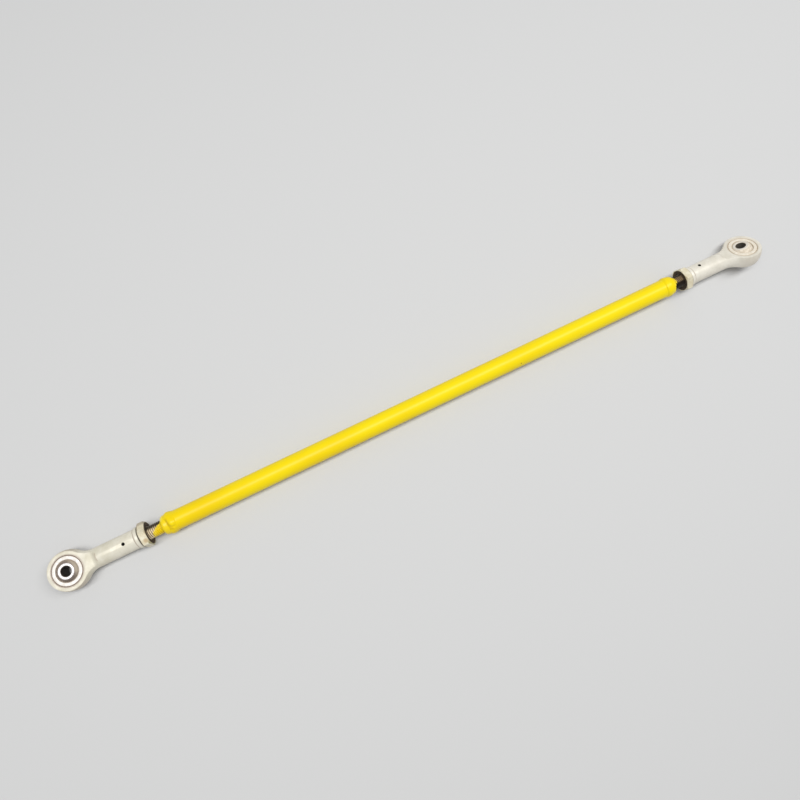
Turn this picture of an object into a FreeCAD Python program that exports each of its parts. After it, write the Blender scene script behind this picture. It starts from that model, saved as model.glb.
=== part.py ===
import FreeCAD, Part
import math
import os

# Push-pull control rod: a straight tube with a threaded plug welded into each end.
# Each plug carries a check nut and a female rod end with a self-aligning bearing.
# Millimetres. The origin is the centre of the left bearing, +X runs along the rod
# to the right bearing, and +Z is the axis of the left bearing.

# ---- Driving dimensions --------------------------------------------------------

eye_spacing = 371.0          # between the two bearing centres
right_head_twist = 33.0      # degrees, right head about the rod, its face turned to +Y

tube_od = 9.525
tube_wall = 0.889

thread_od = 6.35             # 1/4-28, drawn as its major diameter
thread_length = 20.9         # from the plug's shoulder to the tip
thread_tip_chamfer = 0.6
shoulder_length = 3.3
shoulder_round = 0.75
spigot_length = 12.0         # the part of the plug inside the tube
spigot_clearance = 0.03
spigot_chamfer = 0.8
weld_prep = 0.7              # bevel on the tube end and on the shoulder
bead_half_width = 2.7
bead_height = 0.62

head_od = 19.05              # the head is turned to a ball, then milled flat
head_thickness = 6.35
head_edge_chamfer = 0.25
shank_od = 9.4
shank_length = 34.925        # bearing centre to the end of the shank
neck_blend = 9.5             # radius between the head and the shank
flat_end = 14.5              # where the milled flats run out on the shank
flat_runout = 3.0            # radius of the cutter that leaves the flats
collar_od = 10.3             # raised band round the mouth of the shank
collar_length = 2.5
collar_slope = 0.6
collar_chamfer = 0.7
tapped_depth = 15.4
drill_point = 1.6
mouth_countersink = 0.35
witness_hole_d = 1.6
witness_hole_at = 27.5       # from the bearing centre
left_exposed_thread = 7.2    # bare thread between the nut and the plug's shoulder
right_exposed_thread = 5.3

nut_flats = 11.11
nut_thickness = 3.57
nut_face_d = 11.0            # round face left inside the corner chamfers
nut_chamfer_angle = 30.0
nut_countersink = 0.4
left_nut_turn = -12.0        # degrees from +Z to the nearest flat, about +X
right_nut_turn = 11.0
thread_clearance = 0.03      # radial, nut and rod end on the plug's thread
face_clearance = 0.02        # nut face to rod end face

race_od = 14.29
race_lip_od = 14.9           # outer lip, swaged over the edge of the head's bore
race_lip_depth = 0.5
race_groove_d = 13.9         # staking groove in each race face
race_groove_width = 0.5
race_groove_depth = 0.45
race_mouth_d = 10.4          # where the race's bore meets its face
liner_thickness = 0.3
liner_inset = 0.27           # edge of the liner below the race's face
ball_od = 11.1125
ball_clearance = 0.02
ball_width = 8.56
ball_bore_d = 4.826
ball_bore_chamfer = 0.25
right_ball_tilt = 15.5       # degrees that the right ball rests over in its race
right_ball_heading = 40.0    # degrees from the shank round to the way it leans

# ---- Sizes that follow ---------------------------------------------------------

tube_r = tube_od / 2
tube_bore_r = tube_r - tube_wall
thread_r = thread_od / 2
tapped_r = thread_r + thread_clearance
half_head = head_thickness / 2
nut_start = shank_length + face_clearance
nut_end = nut_start + nut_thickness

X = FreeCAD.Vector(1, 0, 0)
Y = FreeCAD.Vector(0, 1, 0)
Z = FreeCAD.Vector(0, 0, 1)
ORIGIN = FreeCAD.Vector(0, 0, 0)


def shoulder_at(exposed_thread):
    """Distance from a bearing centre to the shoulder of the plug beside it."""
    return nut_end + exposed_thread


def seam_at(exposed_thread):
    """Distance from a bearing centre to the welded seam at the tube's end."""
    return shoulder_at(exposed_thread) + shoulder_length


# ---- Helpers -------------------------------------------------------------------

def lathe(points, axis):
    """Solid turned from a closed outline. Points are (along, radius) pairs, and a
    point with a third value is the middle of an arc between its neighbours."""
    def place(along, radius):
        return X * along + Y * radius if axis == X else Z * along + X * radius

    corners = [p for p in points if len(p) == 2]
    start = place(*corners[0])
    edges = []
    here, middle = start, None
    for point in points[1:] + [points[0]]:
        there = place(point[0], point[1])
        if len(point) == 3:
            middle = there
            continue
        if middle is None:
            edges.append(Part.makeLine(here, there))
        else:
            edges.append(Part.Arc(here, middle, there).toShape())
        here, middle = there, None
    face = Part.Face(Part.Wire(edges))
    solid = face.revolve(ORIGIN, axis, 360).Solids[0]
    if solid.Volume < 0:
        solid.reverse()
    return solid


def bar(radius, start, length, axis=X):
    """Round bar along an axis."""
    return Part.makeCylinder(radius, length, axis * start, axis)


def on_circle(radius, across):
    """The other coordinate of a point on a circle about the origin."""
    return math.sqrt(radius ** 2 - across ** 2)


# ---- Rod end -------------------------------------------------------------------

def rod_end_blank():
    """Head, neck and shank as they leave the lathe, turned about the rod's axis."""
    head_r = head_od / 2
    shank_r = shank_od / 2
    collar_r = collar_od / 2
    blend_y = shank_r + neck_blend
    blend_x = on_circle(head_r + neck_blend, blend_y)
    share = head_r / (head_r + neck_blend)
    touch = (blend_x * share, blend_y * share)
    top = FreeCAD.Vector(touch[0], touch[1], 0) - FreeCAD.Vector(blend_x, blend_y, 0)
    low = FreeCAD.Vector(0, -neck_blend, 0)
    middle = (top + low).normalize() * neck_blend
    collar_start = shank_length - collar_length
    return lathe([
        (-head_r, 0),
        (0, head_r, "arc"),
        touch,
        (blend_x + middle.x, blend_y + middle.y, "arc"),
        (blend_x, shank_r),
        (collar_start, shank_r),
        (collar_start + collar_slope, collar_r),
        (shank_length - collar_chamfer, collar_r),
        (shank_length, collar_r - collar_chamfer),
        (shank_length, 0),
    ], X)


def flat_cutter():
    """What milling takes off one side: everything above the face, with a round end."""
    reach = head_od
    run = flat_end - flat_runout
    slab = Part.makeBox(run + reach, 2 * reach, reach,
                        FreeCAD.Vector(-reach, -reach, half_head))
    tall = Part.makeBox(flat_runout, 2 * reach, reach,
                        FreeCAD.Vector(run, -reach, half_head + flat_runout))
    round_end = Part.makeCylinder(flat_runout, 2 * reach,
                                  FreeCAD.Vector(run, -reach, half_head + flat_runout), Y)
    return slab.fuse([tall, round_end])


def tapped_hole():
    """Threaded bore of the shank, with its drill point and countersunk mouth."""
    bottom = shank_length - tapped_depth
    return lathe([
        (bottom - drill_point, 0),
        (bottom, tapped_r),
        (shank_length - mouth_countersink, tapped_r),
        (shank_length, tapped_r + mouth_countersink),
        (shank_length, 0),
    ], X)


def race_seat():
    """Bore of the head, opened out at both faces for the race's swaged lips."""
    seat_r = race_od / 2
    lip_r = race_lip_od / 2
    knee = half_head - race_lip_depth
    return lathe([
        (-half_head, 0),
        (-half_head, lip_r),
        (-knee, seat_r),
        (knee, seat_r),
        (half_head, lip_r),
        (half_head, 0),
    ], Z)


def rod_end_body():
    """Finished rod end without its bearing."""
    cutter = flat_cutter()
    body = rod_end_blank().cut([cutter, cutter.mirror(ORIGIN, Z)])
    rim = [edge for edge in body.Edges
           if edge.Vertexes and all(abs(abs(v.Z) - half_head) < 1e-6 for v in edge.Vertexes)
           and edge.BoundBox.XMin < 0 and edge.BoundBox.ZLength < 1e-6]
    body = body.makeChamfer(head_edge_chamfer, rim)
    witness = bar(witness_hole_d / 2, 0, shank_od, Z)
    witness.translate(X * witness_hole_at)
    return body.cut([tapped_hole(), race_seat(), witness])


# ---- Bearing -------------------------------------------------------------------

def bearing_race():
    """Outer ring: spherical bore, staking groove and swaged lip at each face."""
    seat_r = race_od / 2
    lip_r = race_lip_od / 2
    knee = half_head - race_lip_depth
    groove_r = race_groove_d / 2
    mouth_r = race_mouth_d / 2
    bore_r = ball_od / 2 + ball_clearance + liner_thickness
    edge_z = on_circle(bore_r, mouth_r)
    upper = [
        (knee, seat_r),
        (half_head, lip_r),
        (half_head, groove_r + race_groove_width / 2),
        (half_head - race_groove_depth, groove_r),
        (half_head, groove_r - race_groove_width / 2),
        (half_head, mouth_r),
        (edge_z, mouth_r),
    ]
    lower = [(-z, r) for z, r in reversed(upper)]
    return lathe(upper + [(0, bore_r, "arc")] + lower, Z)


def bearing_liner():
    """Slippery liner bonded into the race, a thin spherical shell."""
    inner_r = ball_od / 2 + ball_clearance
    outer_r = inner_r + liner_thickness
    edge_z = half_head - liner_inset
    edge_z = min(edge_z, on_circle(outer_r, race_mouth_d / 2))
    return lathe([
        (edge_z, on_circle(outer_r, edge_z)),
        (0, outer_r, "arc"),
        (-edge_z, on_circle(outer_r, edge_z)),
        (-edge_z, on_circle(inner_r, edge_z)),
        (0, inner_r, "arc"),
        (edge_z, on_circle(inner_r, edge_z)),
    ], Z)


def bearing_ball():
    """Ball with two flat faces and a bore for the bolt."""
    ball_r = ball_od / 2
    bore_r = ball_bore_d / 2
    face_z = ball_width / 2
    knee = face_z - ball_bore_chamfer
    return lathe([
        (face_z, bore_r + ball_bore_chamfer),
        (face_z, on_circle(ball_r, face_z)),
        (0, ball_r, "arc"),
        (-face_z, on_circle(ball_r, face_z)),
        (-face_z, bore_r + ball_bore_chamfer),
        (-knee, bore_r),
        (knee, bore_r),
    ], Z)


def tilt_axis(heading):
    """Axis that a ball leans about, in the plane of the head's face."""
    angle = math.radians(heading)
    return FreeCAD.Vector(math.sin(angle), math.cos(angle), 0)


# ---- Check nut, plug, weld and tube --------------------------------------------

def check_nut(turn):
    """Thin hexagonal nut, chamfered on both sides, against the end of the shank."""
    corner_r = nut_flats / 2 / math.cos(math.radians(30))
    corners = []
    for index in range(7):
        angle = math.radians(60 * index)
        corners.append(FreeCAD.Vector(nut_start, corner_r * math.cos(angle),
                                      corner_r * math.sin(angle)))
    prism = Part.Face(Part.makePolygon(corners)).extrude(X * nut_thickness)
    face_r = nut_face_d / 2
    slope = (corner_r - face_r) * math.tan(math.radians(nut_chamfer_angle))
    turned = lathe([
        (nut_start, 0),
        (nut_start, face_r),
        (nut_start + slope, corner_r),
        (nut_end - slope, corner_r),
        (nut_end, face_r),
        (nut_end, 0),
    ], X)
    bore = lathe([
        (nut_start, 0),
        (nut_start, tapped_r + nut_countersink),
        (nut_start + nut_countersink, tapped_r),
        (nut_end - nut_countersink, tapped_r),
        (nut_end, tapped_r + nut_countersink),
        (nut_end, 0),
    ], X)
    nut = prism.common(turned).cut(bore)
    nut.rotate(ORIGIN, X, turn)
    return nut


def end_plug(exposed_thread):
    """Threaded stud, shoulder and spigot, in one piece."""
    shoulder = shoulder_at(exposed_thread)
    seam = seam_at(exposed_thread)
    tip = shoulder - thread_length
    spigot_r = tube_bore_r - spigot_clearance
    arc = shoulder_round * (1 - math.sqrt(0.5))
    return lathe([
        (tip, 0),
        (tip, thread_r - thread_tip_chamfer),
        (tip + thread_tip_chamfer, thread_r),
        (shoulder, thread_r),
        (shoulder, tube_r - shoulder_round),
        (shoulder + arc, tube_r - arc, "arc"),
        (shoulder + shoulder_round, tube_r),
        (seam - weld_prep, tube_r),
        (seam, tube_r - weld_prep),
        (seam, spigot_r),
        (seam + spigot_length - spigot_chamfer, spigot_r),
        (seam + spigot_length, spigot_r - spigot_chamfer),
        (seam + spigot_length, 0),
    ], X)


def weld_bead(exposed_thread):
    """Ring of weld that fills the bevelled seam and stands proud of it."""
    seam = seam_at(exposed_thread)
    return lathe([
        (seam - bead_half_width, tube_r),
        (seam, tube_r + bead_height, "arc"),
        (seam + bead_half_width, tube_r),
        (seam + weld_prep, tube_r),
        (seam, tube_r - weld_prep),
        (seam - weld_prep, tube_r),
    ], X)


def rod_tube():
    """Drawn tube, bevelled outside at both ends for the weld."""
    start = seam_at(left_exposed_thread)
    end = eye_spacing - seam_at(right_exposed_thread)
    return lathe([
        (start, tube_bore_r),
        (start, tube_r - weld_prep),
        (start + weld_prep, tube_r),
        (end - weld_prep, tube_r),
        (end, tube_r - weld_prep),
        (end, tube_bore_r),
    ], X)


# ---- The two ends --------------------------------------------------------------

def at_left(shape):
    """The left end is drawn in place."""
    return shape


def at_right(shape):
    """Turns an end round and carries it to the right bearing centre."""
    turned = shape.copy()
    turned.rotate(ORIGIN, Z, 180)
    turned.translate(X * eye_spacing)
    return turned


def twisted(shape):
    """The right rod end stands turned about the rod against the left one."""
    turned = at_right(shape)
    turned.rotate(ORIGIN, X, -right_head_twist)
    return turned


def leaning(shape):
    """The right ball rests tilted over in its race."""
    turned = shape.copy()
    turned.rotate(ORIGIN, tilt_axis(right_ball_heading), right_ball_tilt)
    return twisted(turned)


bearing_parts = {
    "bearing_race": bearing_race(),
    "bearing_liner": bearing_liner(),
}
body = rod_end_body()
ball = bearing_ball()

nodes = {
    "tube": rod_tube(),
    "left_threaded_plug": at_left(end_plug(left_exposed_thread)),
    "right_threaded_plug": at_right(end_plug(right_exposed_thread)),
    "left_weld_bead": at_left(weld_bead(left_exposed_thread)),
    "right_weld_bead": at_right(weld_bead(right_exposed_thread)),
    "left_check_nut": at_left(check_nut(left_nut_turn)),
    "right_check_nut": at_right(check_nut(-right_nut_turn)),
    "left_rod_end": at_left(body),
    "right_rod_end": twisted(body),
    "left_bearing_ball": at_left(ball),
    "right_bearing_ball": leaning(ball),
}
for part_name, part_shape in bearing_parts.items():
    nodes["left_" + part_name] = at_left(part_shape)
    nodes["right_" + part_name] = twisted(part_shape)

os.makedirs("parts", exist_ok=True)
for node_name, node_shape in nodes.items():
    solids = node_shape.Solids
    if len(solids) != 1 or not node_shape.isValid():
        raise RuntimeError("%s is not one sound solid" % node_name)
    solids[0].exportStep("parts/%s.step" % node_name)
    print("%-22s %9.2f mm3" % (node_name, solids[0].Volume))
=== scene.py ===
# %% [markdown]
# A push-pull control rod
# This rod joins two levers in an aircraft: a light painted tube, a threaded plug welded into each
# end, a thin check nut on each thread, and a self-aligning rod end that the nut locks in place.
# The solids come packed from the CAD part. Here each one gets a finely shaped double of the same
# size in the same place, with its thread, its weld and its finish.

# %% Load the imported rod
import math
import random
import bmesh
import bpy
from mathutils import Matrix, Vector


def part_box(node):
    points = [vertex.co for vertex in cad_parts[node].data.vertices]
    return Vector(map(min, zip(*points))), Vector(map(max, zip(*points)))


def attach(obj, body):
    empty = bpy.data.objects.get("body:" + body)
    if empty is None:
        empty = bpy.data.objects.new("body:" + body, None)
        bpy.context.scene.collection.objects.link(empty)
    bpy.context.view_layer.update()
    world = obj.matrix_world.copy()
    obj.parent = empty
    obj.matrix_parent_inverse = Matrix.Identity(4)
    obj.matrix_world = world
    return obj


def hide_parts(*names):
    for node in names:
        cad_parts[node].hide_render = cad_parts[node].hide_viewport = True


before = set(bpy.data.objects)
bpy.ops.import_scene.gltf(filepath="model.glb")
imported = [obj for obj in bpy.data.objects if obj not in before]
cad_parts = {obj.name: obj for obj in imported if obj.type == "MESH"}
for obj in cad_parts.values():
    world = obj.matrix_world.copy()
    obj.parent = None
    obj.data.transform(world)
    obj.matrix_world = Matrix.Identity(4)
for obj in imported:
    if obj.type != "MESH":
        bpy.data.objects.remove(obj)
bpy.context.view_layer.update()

# %% [markdown]
# Places
# Blender works in metres, and the rod is drawn in millimetres, so every piece is shaped a thousand
# times too big and shrunk when it is done. That also keeps the modelling tools clear of their
# smallest tolerances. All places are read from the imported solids, so a piece can't drift from them.

# %% Read the places from the solids
X, Z = Vector((1, 0, 0)), Vector((0, 0, 1))


def span(node):
    """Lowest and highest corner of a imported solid, in millimetres."""
    low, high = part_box(node)
    return low * 1000, high * 1000


def middle(node):
    low, high = span(node)
    return (low + high) / 2


left_eye, right_eye = middle("left_bearing_race"), middle("right_bearing_race")
shank_end = span("left_rod_end")[1].x
nut_low, nut_high = span("left_check_nut")
plug_low, plug_high = span("left_threaded_plug")
tube_low, tube_high = span("tube")
eye_gap = (right_eye - left_eye).length
print("eyes", round(eye_gap, 2), "mm apart, shank ends at", round(shank_end, 2))

# %% [markdown]
# Camera
# The rod lies on its nuts and is seen from close above, a little from its near side, through a
# wide lens, so the near end looks larger than the far one. The camera's own axes are set from
# two directions: where it looks, and where its right-hand side points.

# %% Camera above the rod
CAMERA_AT = (0.13754, -0.0267, 0.2936)
LENS_MM, SENSOR_MM = 27.05, 36
bpy.ops.object.camera_add(location=CAMERA_AT)
camera = bpy.context.object
camera.name = "portrait_camera"
camera.data.lens, camera.data.sensor_width = LENS_MM, SENSOR_MM
camera.data.clip_start, camera.data.clip_end = 0.01, 50
ahead = Vector((0.11575, 0.11031, -0.98713)).normalized()
right_hand = Vector((0.89821, -0.43592, 0.05661))
right_hand = (right_hand - ahead * right_hand.dot(ahead)).normalized()
upward = right_hand.cross(ahead)
turn = Matrix((right_hand, upward, -ahead)).transposed()
camera.rotation_euler = turn.to_euler()
bpy.context.scene.camera = camera
print("camera looks along", [round(v, 3) for v in ahead], "lens", camera.data.lens)

# %% [markdown]
# Floor and light
# A pale table top, level with the lowest corner of the left nut and the lowest edge of the right
# head, which are what the rod rests on. The light is one long soft panel over the rod, in line with
# it, and a pale room all round. A long panel gives a round bar an even stripe along its top, where
# a small lamp would give it one bright spot, and the pale room keeps the shadows soft. The Standard
# view shows colours as they are: the usual one fades a strong yellow towards cream.

# %% Floor
TABLE_GREY = (0.60, 0.60, 0.595, 1)
TABLE_GAP = 0.03
bpy.ops.object.select_all(action="DESELECT")
head_low = span("right_rod_end")[0]
slope = math.atan2(head_low.z - nut_low.z, right_eye.x - nut_high.x)
bpy.ops.mesh.primitive_plane_add(size=6)
floor = bpy.context.object
floor.name = "table_top"
floor.rotation_euler = (0, -slope, 0)
floor.location = (0, 0, (nut_low.z - math.tan(slope) * nut_high.x - TABLE_GAP) / 1000)
bpy.ops.object.transform_apply()
paper = bpy.data.materials.new("pale_table")
paper.use_nodes = True
paper_shader = paper.node_tree.nodes["Principled BSDF"]
paper_shader.inputs["Base Color"].default_value = TABLE_GREY
paper_shader.inputs["Roughness"].default_value = 0.85
floor.data.materials.append(paper)
print("table slopes", round(math.degrees(slope), 2), "degrees along the rod")


# %% Panel and room
PANEL_AT, PANEL_AIM = Vector((0.35, 0.05, 1.0)), Vector((0.35, 0, 0))
PANEL_LENGTH, PANEL_WIDTH, PANEL_WATTS = 1.8, 0.3, 12.5
ROOM_COLOUR, ROOM_STRENGTH = (0.97, 0.98, 1.0, 1), 0.34
bpy.ops.object.light_add(type="AREA", location=PANEL_AT)
panel = bpy.context.object
panel.name = "over_the_rod"
panel.data.shape = "RECTANGLE"
panel.data.size, panel.data.size_y = PANEL_LENGTH, PANEL_WIDTH
panel.data.energy = PANEL_WATTS
panel.rotation_euler = (PANEL_AIM - PANEL_AT).to_track_quat("-Z", "Y").to_euler()
room = bpy.data.worlds.new("pale_room")
bpy.context.scene.world = room
room.use_nodes = True
room_light = room.node_tree.nodes["Background"]
room_light.inputs["Color"].default_value = ROOM_COLOUR
room_light.inputs["Strength"].default_value = ROOM_STRENGTH
bpy.context.scene.view_settings.view_transform = "Standard"
print("shown through the", bpy.context.scene.view_settings.view_transform, "view")

# %% [markdown]
# Working by hand, in code
# Each tool acts on whatever is selected, so the first helper clears the selection and the second
# picks one piece. The third chooses vertices, edges or faces of the piece in edit mode by a test on
# their place, which is what the mouse does for a person.

# %% Selection helpers
def all_off():
    """Object mode, with nothing selected."""
    if bpy.context.object and bpy.context.object.mode != "OBJECT":
        bpy.ops.object.mode_set(mode="OBJECT")
    bpy.ops.object.select_all(action="DESELECT")


def only(piece):
    """This piece alone is selected and active."""
    all_off()
    piece.select_set(True)
    bpy.context.view_layer.objects.active = piece


def choose(piece, kind, test):
    """In edit mode, selects what passes the test. kind is VERT, EDGE or FACE."""
    bpy.ops.mesh.select_mode(type=kind)
    bpy.ops.mesh.select_all(action="DESELECT")
    mesh = bmesh.from_edit_mesh(piece.data)
    parts = {"VERT": mesh.verts, "EDGE": mesh.edges, "FACE": mesh.faces}[kind]
    parts.ensure_lookup_table()
    for part in parts:
        if test(part):
            part.select_set(True)
    mesh.select_flush_mode()
    bmesh.update_edit_mesh(piece.data)


all_off()
print("selected to begin with:", len(bpy.context.selected_objects))

# %% [markdown]
# Turning
# Nearly all of this rod comes off a lathe. A lathe part is an outline spun round an axis. The
# outline could be typed in as a finished mesh, but it is drawn here as by hand: a small plane is
# merged to one vertex, that vertex is extruded from corner to corner, chosen corners are rounded by
# a vertex bevel, and the line is spun a full turn.

# %% Lathe helpers
SAME_PLACE = 0.002


def arc(centre, radius, start, end, count):
    """Points on an arc in the outline's plane, angles in degrees from the axis."""
    points = []
    for index in range(count + 1):
        angle = math.radians(start + (end - start) * index / count)
        points.append((centre[0] + radius * math.cos(angle), centre[1] + radius * math.sin(angle)))
    return points


def drawn(name, outline, axis):
    """The outline as a line of edges. Points are (along, radius), in millimetres."""
    side = X if axis == Z else Z
    spots = [axis * along + side * radius for along, radius in outline]
    all_off()
    bpy.ops.mesh.primitive_plane_add(size=0.1, location=spots[0])
    line = bpy.context.object
    line.name = name
    bpy.ops.object.transform_apply()
    bpy.ops.object.mode_set(mode="EDIT")
    bpy.ops.mesh.select_mode(type="VERT")
    bpy.ops.mesh.select_all(action="SELECT")
    bpy.ops.mesh.merge(type="CENTER")
    for here, there in zip(spots, spots[1:]):
        bpy.ops.mesh.extrude_vertices_move(TRANSFORM_OT_translate={"value": there - here})
    bpy.ops.mesh.select_all(action="SELECT")
    bpy.ops.mesh.remove_doubles(threshold=0.0005)
    return line


def turned(name, outline, axis, steps=96, rounds=()):
    """A solid spun from an outline. rounds holds (along, radius, how far the rounding reaches)."""
    piece = drawn(name, outline, axis)
    side = X if axis == Z else Z
    for along, radius, reach in rounds:
        corner = axis * along + side * radius
        choose(piece, "VERT", lambda v: (v.co - corner).length < SAME_PLACE)
        bpy.ops.mesh.bevel(offset=reach, segments=3, affect="VERTICES")
    bpy.ops.mesh.select_all(action="SELECT")
    bpy.ops.mesh.spin(steps=steps, angle=math.tau, center=(0, 0, 0), axis=axis)
    bpy.ops.mesh.select_all(action="SELECT")
    bpy.ops.mesh.remove_doubles(threshold=0.0008)
    bpy.ops.mesh.normals_make_consistent(inside=False)
    bpy.ops.object.mode_set(mode="OBJECT")
    return piece


print("an eighth of a turn:", [round(v, 3) for v in arc((0, 0), 1, 0, 45, 1)[-1]])

# %% [markdown]
# Cutting, copying, placing
# Milling, drilling and boring take metal away, so they are Boolean cuts with a tool shaped for the
# job. The right end of the rod is the left end turned round, so its pieces are copies with their
# own meshes, moved to the right eye. The right head is also twisted 33 degrees round the rod, which
# is how far its rod end was turned before its nut was tightened. Each finished piece is shrunk to
# metres, smoothed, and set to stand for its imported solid.

# %% Cut, copy and place
def carve(piece, tool, operation="DIFFERENCE"):
    """Cuts with a tool, or keeps only what both share, and throws the tool away."""
    only(piece)
    bpy.ops.object.modifier_add(type="BOOLEAN")
    cut = piece.modifiers[-1]
    cut.operation, cut.solver, cut.object = operation, "EXACT", tool
    bpy.ops.object.modifier_apply(modifier=cut.name)
    bpy.data.objects.remove(tool, do_unlink=True)


def copied(piece, name):
    """A copy with its own mesh."""
    only(piece)
    bpy.ops.object.duplicate(linked=False)
    bpy.context.object.name = name
    return bpy.context.object


def moved(piece, matrix):
    """Places a piece and puts that place into its mesh."""
    only(piece)
    piece.matrix_world = matrix
    bpy.ops.object.transform_apply()
    return piece


def softened(piece, degrees, width):
    """A narrow bevel on every edge that is sharper than this."""
    only(piece)
    bpy.ops.object.modifier_add(type="BEVEL")
    soften = piece.modifiers[-1]
    soften.limit_method, soften.angle_limit = "ANGLE", math.radians(degrees)
    soften.width, soften.segments = width, 2
    bpy.ops.object.modifier_apply(modifier=soften.name)


def open_edges(piece):
    """How many edges don't have exactly two faces: none, on a sound solid."""
    mesh = bmesh.new()
    mesh.from_mesh(piece.data)
    count = sum(1 for edge in mesh.edges if len(edge.link_faces) != 2)
    mesh.free()
    return count


def fitted(piece, node, body, material, smooth=32):
    """Shrinks a piece to metres, smooths it and lets it stand for its solid."""
    moved(piece, Matrix.Scale(0.001, 4))
    bpy.ops.object.shade_smooth_by_angle(angle=math.radians(smooth))
    piece.data.materials.clear()
    piece.data.materials.append(material)
    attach(piece, body)
    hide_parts(node)
    size = [round(1000 * v, 2) for v in piece.dimensions]
    faces = len(piece.data.polygons)
    print(f"{piece.name}: {faces} faces, {size} mm, open edges {open_edges(piece)}")


twist = math.radians(33)
to_right = Matrix.Translation(X * right_eye.x) @ Matrix.Rotation(math.pi, 4, "Z")
to_right_head = to_right @ Matrix.Rotation(twist, 4, "X")
print("the left eye's middle goes to", [round(v, 2) for v in to_right_head @ left_eye])

# %% [markdown]
# Finishes
# A finish is a small node tree on the piece's own Object coordinates, so it stays put when the
# rod moves. Patterns are measured in metres there: a noise scale of 1000 has grains of about a
# millimetre. The helpers below each add one kind of node, so a finish reads like a sum, and they
# find the tree from the socket they are given. The right head's finishes first turn the coordinates
# back to the left head's, so one recipe serves both ends.

# %% Node helpers
def node(beside, kind, inputs=None, **settings):
    """Adds a node to the tree that beside is in. An input takes a number, a colour or a socket."""
    tree = beside.id_data
    made = tree.nodes.new(kind)
    for key, value in settings.items():
        setattr(made, key, value)
    for key, value in (inputs or {}).items():
        if isinstance(value, bpy.types.NodeSocket):
            tree.links.new(value, made.inputs[key])
        else:
            made.inputs[key].default_value = value
    return made


def noise(coords, scale, detail=2.0, rough=0.5, stretch=(1, 1, 1)):
    """Noise between 0 and 1. stretch above 1 makes the grain finer along that axis."""
    scaled = node(coords, "ShaderNodeMapping", {"Vector": coords, "Scale": stretch})
    made = node(coords, "ShaderNodeTexNoise", {
        "Vector": scaled.outputs[0], "Scale": scale, "Detail": detail, "Roughness": rough})
    return made.outputs["Fac"]


def rising(value, low, high, start=0.0, end=1.0):
    """A soft step from start to end while the value goes from low to high."""
    made = node(value, "ShaderNodeMapRange", {
        "Value": value, "From Min": low, "From Max": high, "To Min": start, "To Max": end},
        interpolation_type="SMOOTHSTEP")
    return made.outputs[0]


def falling(value, low, high, share=1.0):
    """A soft step down, from share to nothing."""
    return rising(value, low, high, share, 0.0)


def plus(a, b):
    return node(a, "ShaderNodeMath", {0: a, 1: b}, operation="ADD").outputs[0]


def minus(a, b):
    return node(a, "ShaderNodeMath", {0: a, 1: b}, operation="SUBTRACT").outputs[0]


def times(a, b):
    return node(a, "ShaderNodeMath", {0: a, 1: b}, operation="MULTIPLY").outputs[0]


def larger(a, b):
    return node(a, "ShaderNodeMath", {0: a, 1: b}, operation="MAXIMUM").outputs[0]


def size_of(value):
    """The value without its sign, so a rule holds on both sides of the middle."""
    return node(value, "ShaderNodeMath", {0: value}, operation="ABSOLUTE").outputs[0]


def reach_of(first, second):
    """How far a point lies from an axis, from its two offsets across that axis."""
    flat = node(first, "ShaderNodeCombineXYZ", {0: first, 1: second}).outputs[0]
    return node(flat, "ShaderNodeVectorMath", {0: flat}, operation="LENGTH").outputs["Value"]


def jittered(value, pattern, spread):
    """The value, shifted up and down by a pattern so that what follows it has a ragged edge."""
    return plus(value, times(minus(pattern, 0.5), spread))


def mixed(share, a, b):
    """Colour a where share is 0, colour b where it is 1."""
    return node(share, "ShaderNodeMix", {0: share, 6: a, 7: b}, data_type="RGBA").outputs[2]


def bumped(height, depth):
    """Bump of a real depth in metres."""
    return node(height, "ShaderNodeBump", {
        "Height": height, "Strength": 1.0, "Distance": depth}).outputs[0]


def feed(shader, name, value):
    """Links a value to one of the shader's own sockets."""
    shader.id_data.links.new(value, shader.inputs[name])


def new_finish(name, side="left", turned_head=True, **sockets):
    """A material, its shader and its coordinates, seen as the left end sees them."""
    finish = bpy.data.materials.new(name)
    finish.use_nodes = True
    shader = finish.node_tree.nodes["Principled BSDF"]
    for key, value in sockets.items():
        shader.inputs[key.replace("_", " ")].default_value = value
    coords = node(shader, "ShaderNodeTexCoord").outputs["Object"]
    if side == "right":
        angle = twist if turned_head else 0
        coords = node(coords, "ShaderNodeMapping", {
            "Vector": coords, "Location": (right_eye.x / 1000, 0, 0),
            "Rotation": (angle, 0, math.pi)}).outputs[0]
    return finish, shader, coords


def offsets(coords):
    """The three coordinates, one by one: along the rod, aside and up."""
    return node(coords, "ShaderNodeSeparateXYZ", {0: coords}).outputs


def from_axis(coords):
    """Distance from the bearing's axis, and the three coordinates."""
    parts = offsets(coords)
    return reach_of(parts[0], parts[1]), parts


# %% [markdown]
# Yellow enamel
# The tube, the weld beads and the plugs' shoulders were sprayed in one coat: a warm, strong yellow
# that is a little uneven, with the faint dimples of sprayed paint and a few specks of grit under
# it. The colour drifts slowly along the tube, and a bump of a few hundredths of a millimetre
# breaks the highlight. Wet paint draws back from an edge, so it dries paler there. The left bead
# has a crease that curves round its lump, and a darker line is painted along that curve: painted
# shade, where the crease turns away from the light.

# %% Enamel
ENAMEL = (0.90, 0.71, 0.003, 1)
ENAMEL_DEEP = (0.86, 0.62, 0.002, 1)
PAINT_THIN = (0.92, 0.80, 0.12, 1)
# Painted shade: the colour laid in the bead's crease, in the thread's roots and in the shoulder's
# corner.
PAINT_SHADE = (0.56, 0.37, 0.008, 1)
GRIT = (0.30, 0.17, 0.01, 1)
CREASE_AT = 0.04895


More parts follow.
